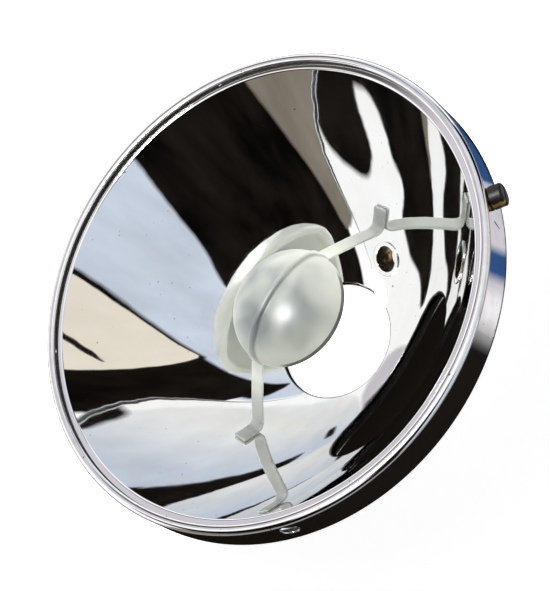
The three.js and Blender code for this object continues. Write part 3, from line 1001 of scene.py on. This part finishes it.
def glowing(name, colour, strength, variation=0.0, whiter_above=None):
    """A plain light card with soft edges, perhaps with the unevenness of cloth or sky."""
    n = Nodes(name)
    n.tree.nodes.remove(n.shader)
    emission = n.add("ShaderNodeEmission")
    emission.inputs["Color"].default_value = (*colour, 1)
    cloudy = n.noise(2.2, detail=5, roughness=0.5)
    n.link(n.span(cloudy, 0.35, 0.75, strength, strength * (1 + variation)), emission.inputs["Strength"])
    if whiter_above:
        fade = n.span(n.polar()[2], whiter_above, CARD_DISTANCE * MM, 0, 1)
        n.link(n.mix(fade, colour, (1.15, 1.15, 1.15)), emission.inputs["Color"])
    solid = n.add("ShaderNodeAttribute", attribute_name="solid")
    mix = n.add("ShaderNodeMixShader")
    n.link(solid.outputs["Fac"], mix.inputs[0])
    n.link(n.add("ShaderNodeBsdfTransparent").outputs[0], mix.inputs[1])
    n.link(emission.outputs[0], mix.inputs[2])
    n.link(mix.outputs[0], n.tree.nodes["Material Output"].inputs["Surface"])
    return n.material


def stage_mesh(name, bm, material):
    """A finished bmesh becomes a part of the studio."""
    mesh = bpy.data.meshes.new(name)
    bm.to_mesh(mesh)
    bm.free()
    mesh.materials.append(material)
    piece = in_scene(name, mesh)
    return piece


def seen_in_gloss_only(piece):
    piece.visible_camera = False
    piece.visible_diffuse = False
    piece.visible_shadow = False
    piece.visible_transmission = False


def inset(loop, width):
    """A closed (azimuth, height) outline moved inward by a width, all in degrees."""
    area = sum(a.x * b.y - b.x * a.y for a, b in zip(loop, [*loop[1:], loop[0]]))
    side = math.copysign(width, area)
    inner = []
    for i, point in enumerate(loop):
        squeeze = math.cos(math.radians(point.y))
        ahead = loop[(i + 1) % len(loop)] - loop[i - 1]
        run = Vector((ahead.x * squeeze, ahead.y)).normalized()
        inner.append(point + Vector((-run.y / squeeze, run.x)) * side)
    return inner


def card(name, corners, material, distance, softness=1.5):
    """A studio card on a sphere round the object, from (azimuth, height) corners in degrees."""
    loop = [Vector(corner) for corner in corners]
    for _ in range(2):
        pairs = zip(loop, [*loop[1:], loop[0]])
        loop = [a.lerp(b, t) for a, b in pairs for t in (0.2, 0.8)]
    bm = bmesh.new()
    solid = bm.verts.layers.float.new("solid")
    rings = []
    for inside, points in enumerate((loop, inset(loop, softness))):
        ring = []
        for azimuth, height in points:
            ring.append(bm.verts.new(direction(azimuth, height)))
            ring[-1][solid] = inside
        rings.append(ring)
    outer, inner = rings
    for i in range(len(outer)):
        k = (i + 1) % len(outer)
        bm.faces.new((outer[i], outer[k], inner[k], inner[i]))
    middle = bm.faces.new(inner)
    bmesh.ops.triangulate(bm, faces=[middle])
    bmesh.ops.subdivide_edges(bm, edges=bm.edges, cuts=5, use_grid_fill=True)
    for vert in bm.verts:
        vert.co = (CENTRE + vert.co.normalized() * distance) * MM
    seen_in_gloss_only(stage_mesh(name, bm, material))


def floor_card(name, start, end, inner, outer, material, height=0.2, fades=(3, 3), centre=(0, 0)):
    """A sector of a ring that lies on the floor, faded over some degrees at each end."""
    middle = Vector((*centre, height))
    bm = bmesh.new()
    solid = bm.verts.layers.float.new("solid")
    steps = 96
    rows = []
    for i in range(steps + 1):
        out = direction(start + (end - start) * i / steps)
        row = [bm.verts.new((middle + out * radius) * MM) for radius in (inner, outer)]
        for vert in row:
            from_start, to_end = (end - start) * i / steps, (end - start) * (steps - i) / steps
            vert[solid] = 1 if end - start == 360 else min(from_start / fades[0], to_end / fades[1], 1)
        rows.append(row)
    for a, b in zip(rows, rows[1:]):
        bm.faces.new((a[0], a[1], b[1], b[0]))
    seen_in_gloss_only(stage_mesh(name, bm, material))


def make_cards():
    """What the chrome mirrors: dark flags in front, among sky-blue, beige and cream cards."""
    dark = glowing("dark_flag", (0.5, 0.40, 0.34), 0.006, 4)
    sky = glowing("sky_card", (0.78, 0.86, 1.0), 0.72, 0.2, whiter_above=1.5)
    beige = glowing("beige_card", (1.0, 0.88, 0.72), 0.2, 0.5)
    cream = glowing("cream_card", (1.0, 0.92, 0.79), 0.8, 0.1)
    blue = glowing("blue_card", (0.09, 0.26, 0.72), 0.27, 0.5)
    lilac = glowing("lilac_card", (0.97, 0.92, 1.0), 0.66, 0.1)
    grey = glowing("grey_card", (0.98, 0.97, 1.0), 0.3, 0.2)
    shadow = glowing("shadow_card", (1.0, 0.95, 0.9), 0.07, 0.5)
    far, middle, near = CARD_DISTANCE + 200, CARD_DISTANCE + 100, CARD_DISTANCE
    card("sky_high", [(-88, 74), (-88, 20), (-45, 12), (0, 20), (62, 36), (62, 74)], sky, far)
    card("sky_low", [(250, 50), (240, -2), (274, 2), (300, 12), (318, 45)], sky, far + 50)
    figure = [
        (200, -6), (232, 47), (219, 53), (221, 61), (232, 64), (250, 65), (263, 64), (268, 60),
        (280, 59), (286, 49), (283, 44), (277, 41), (266, 35), (257, 24), (250, 17), (247, -6),
    ]
    card("figure_flag", figure, dark, middle)
    left = [
        (166, 20), (163, 29), (127, 42), (126, 48), (145, 50), (163, 58), (188, 57), (190, 48),
        (203, 49), (209, 45), (218, 43), (232, 47), (240, 44), (226, -8), (196, -8), (184, 8),
    ]
    card("left_flag", left, dark, near)
    card("beige_side", [(159, -8), (160, 34), (190, 15), (198, 8), (203, -8)], beige, near - 50)
    right = [
        (34, 43), (16, 39), (-15, 34), (-24, 32), (-12, -4), (2, -4), (14, 19), (2, 27), (20, 25),
    ]
    card("right_flag", right, dark, middle)
    shadow_line = [(-17, 35), (-8, -4), (-62, -4), (-59, 18), (-39, 27), (-28, 31)]
    card("wedge_edge", shadow_line, dark, near + 30)
    wedge = [(-19, 33), (-10, -4), (-60, -4), (-57, 16), (-39, 25), (-28, 29)]
    card("cream_wedge", wedge, cream, near, 0.5)
    crack = [
        (-17, 13.4), (-20, 12.4), (-25, 11.9), (-34, 11.2), (-34, 12.2), (-25, 13.1), (-20, 13.8),
    ]
    card("cream_crack", crack, dark, near - 30, 0.25)
    card("lip_grey", [(60, 34), (109, 34), (109, 66), (60, 66)], lilac, far, 2)
    card("lip_shadow", [(60, 34), (95, 34), (91, 48), (80, 54), (60, 54)], shadow, far - 30, 3)
    card("patch_flag", [(37, 44), (37, 52), (45, 52), (45, 44)], dark, near)
    # On the floor, for the collar's hole, the skirt and the bowl's back. The dark rings under_flag,
    # hem_flag
    # and floor_flag are painted shade: seen only in reflections, they stand for the floor in the object's
    # shadow.
    floor_card("under_flag", 0, 360, 0.01, 23.4, dark)
    floor_card("hem_flag", 0, 360, 80, 94, dark, 0.8, centre=(-1, -11.5))
    floor_card("horizon_floor", 0, 360, 150, 1800, grey, 0.1)
    floor_card("floor_flag", -2, 306, 80, 160, dark, fades=(5, 18))
    floor_card("lilac_side", -68, -20, 80, 190, lilac, 0.3, fades=(14, 3))
    floor_card("blue_side", -24, 6, 78, 190, blue, 0.4, fades=(4, 4))
    floor_card("blue_patch", -53, -41, 78, 190, blue, 0.5, fades=(3.5, 3))


def make_floor():
    """A pale seamless floor that the object stands on."""
    material = bpy.data.materials.new("floor_paper")
    material.use_nodes = True
    shader = material.node_tree.nodes["Principled BSDF"]
    shader.inputs["Base Color"].default_value = (0.9, 0.9, 0.9, 1)
    shader.inputs["Roughness"].default_value = 0.9
    shader.inputs["Emission Color"].default_value = (1, 1, 1, 1)
    shader.inputs["Emission Strength"].default_value = 0.78
    bm = bmesh.new()
    bmesh.ops.create_circle(bm, cap_ends=True, segments=96, radius=6)
    stage_mesh("floor", bm, material)


def area_light(name, azimuth, height, distance, size, power):
    """A round soft light that faces the object. Distances in metres."""
    lamp = bpy.data.lights.new(name, "AREA")
    lamp.shape = "DISK"
    lamp.size = size
    lamp.energy = power
    panel = in_scene(name, lamp)
    away = direction(azimuth, height)
    panel.location = CENTRE * MM + away * distance
    panel.rotation_euler = away.to_track_quat("Z", "Y").to_euler()
    return panel


def make_light():
    """White all round for the chrome, a dimmer tent for the rest, and two soft lights."""
    world = bpy.data.worlds.new("studio")
    bpy.context.scene.world = world
    world.use_nodes = True
    background = world.node_tree.nodes["Background"]
    background.inputs["Color"].default_value = (1, 1, 1, 1)
    background.inputs["Strength"].default_value = 1.1
    bm = bmesh.new()
    bmesh.ops.create_icosphere(bm, subdivisions=4, radius=4)
    solid = bm.verts.layers.float.new("solid")
    for vert in bm.verts:
        vert[solid] = 1
    tent = stage_mesh("tent", bm, glowing("tent_cloth", (1, 1, 1), 0.24))
    tent.visible_camera = False
    tent.visible_glossy = False
    tent.visible_shadow = False
    overhead = area_light("overhead", 153, 81, 1.5, 0.4, 28)
    overhead.visible_diffuse = False
    overhead.visible_transmission = False
    side = area_light("side", 62, 70, 1.4, 0.5, 27)
    side.visible_glossy = False


def make_camera():
    """A long lens looking down into the bowl, rolled over as the object was held."""
    camera = bpy.data.cameras.new("camera")
    camera.lens = 91.37
    camera.sensor_width = 36
    camera.clip_end = 100
    shot = in_scene("camera", camera)
    turn, tilt, roll = -3.43, 37.02, -55.78
    place = Matrix.Translation(Vector((-15.67, -274.07, 411.42)) * MM)
    shot.matrix_world = place @ about("Z", turn) @ about("X", tilt) @ about("Z", roll)
    bpy.context.scene.camera = shot


# ---- the scene ------------------------------------------------------------------------------
make_camera()
make_light()
make_floor()
make_cards()
bpy.context.scene.view_settings.view_transform = "Standard"

chrome = mirror_chrome()
brass = aged_brass("aged_brass", (0.12, 0.07, 0.025), (0.36, 0.24, 0.085), (0.72, 0.53, 0.24))
# A much darker copy of the brass for the sight sleeve: tarnish, and painted shade inside its bore.
tarnished_shaded_bore_brass = aged_brass("tarnished_shaded_bore_brass", (0.010, 0.007, 0.005), (0.035, 0.024, 0.012), (0.5, 0.37, 0.16))
steel = dark_steel()
make_bowl(chrome, spun_chrome())
make_hoop(hoop_chrome())
make_gasket(rubber())
make_clips(steel)
make_nuts(steel)
make_screw(brass)
make_cap(black_lacquer("worn_lacquer", worn_streak))
make_sleeve(chrome, tarnished_shaded_bore_brass)
make_sight_ring(plated_steel())
make_collar(black_lacquer("collar_lacquer"))
make_shade(frosted_plastic())
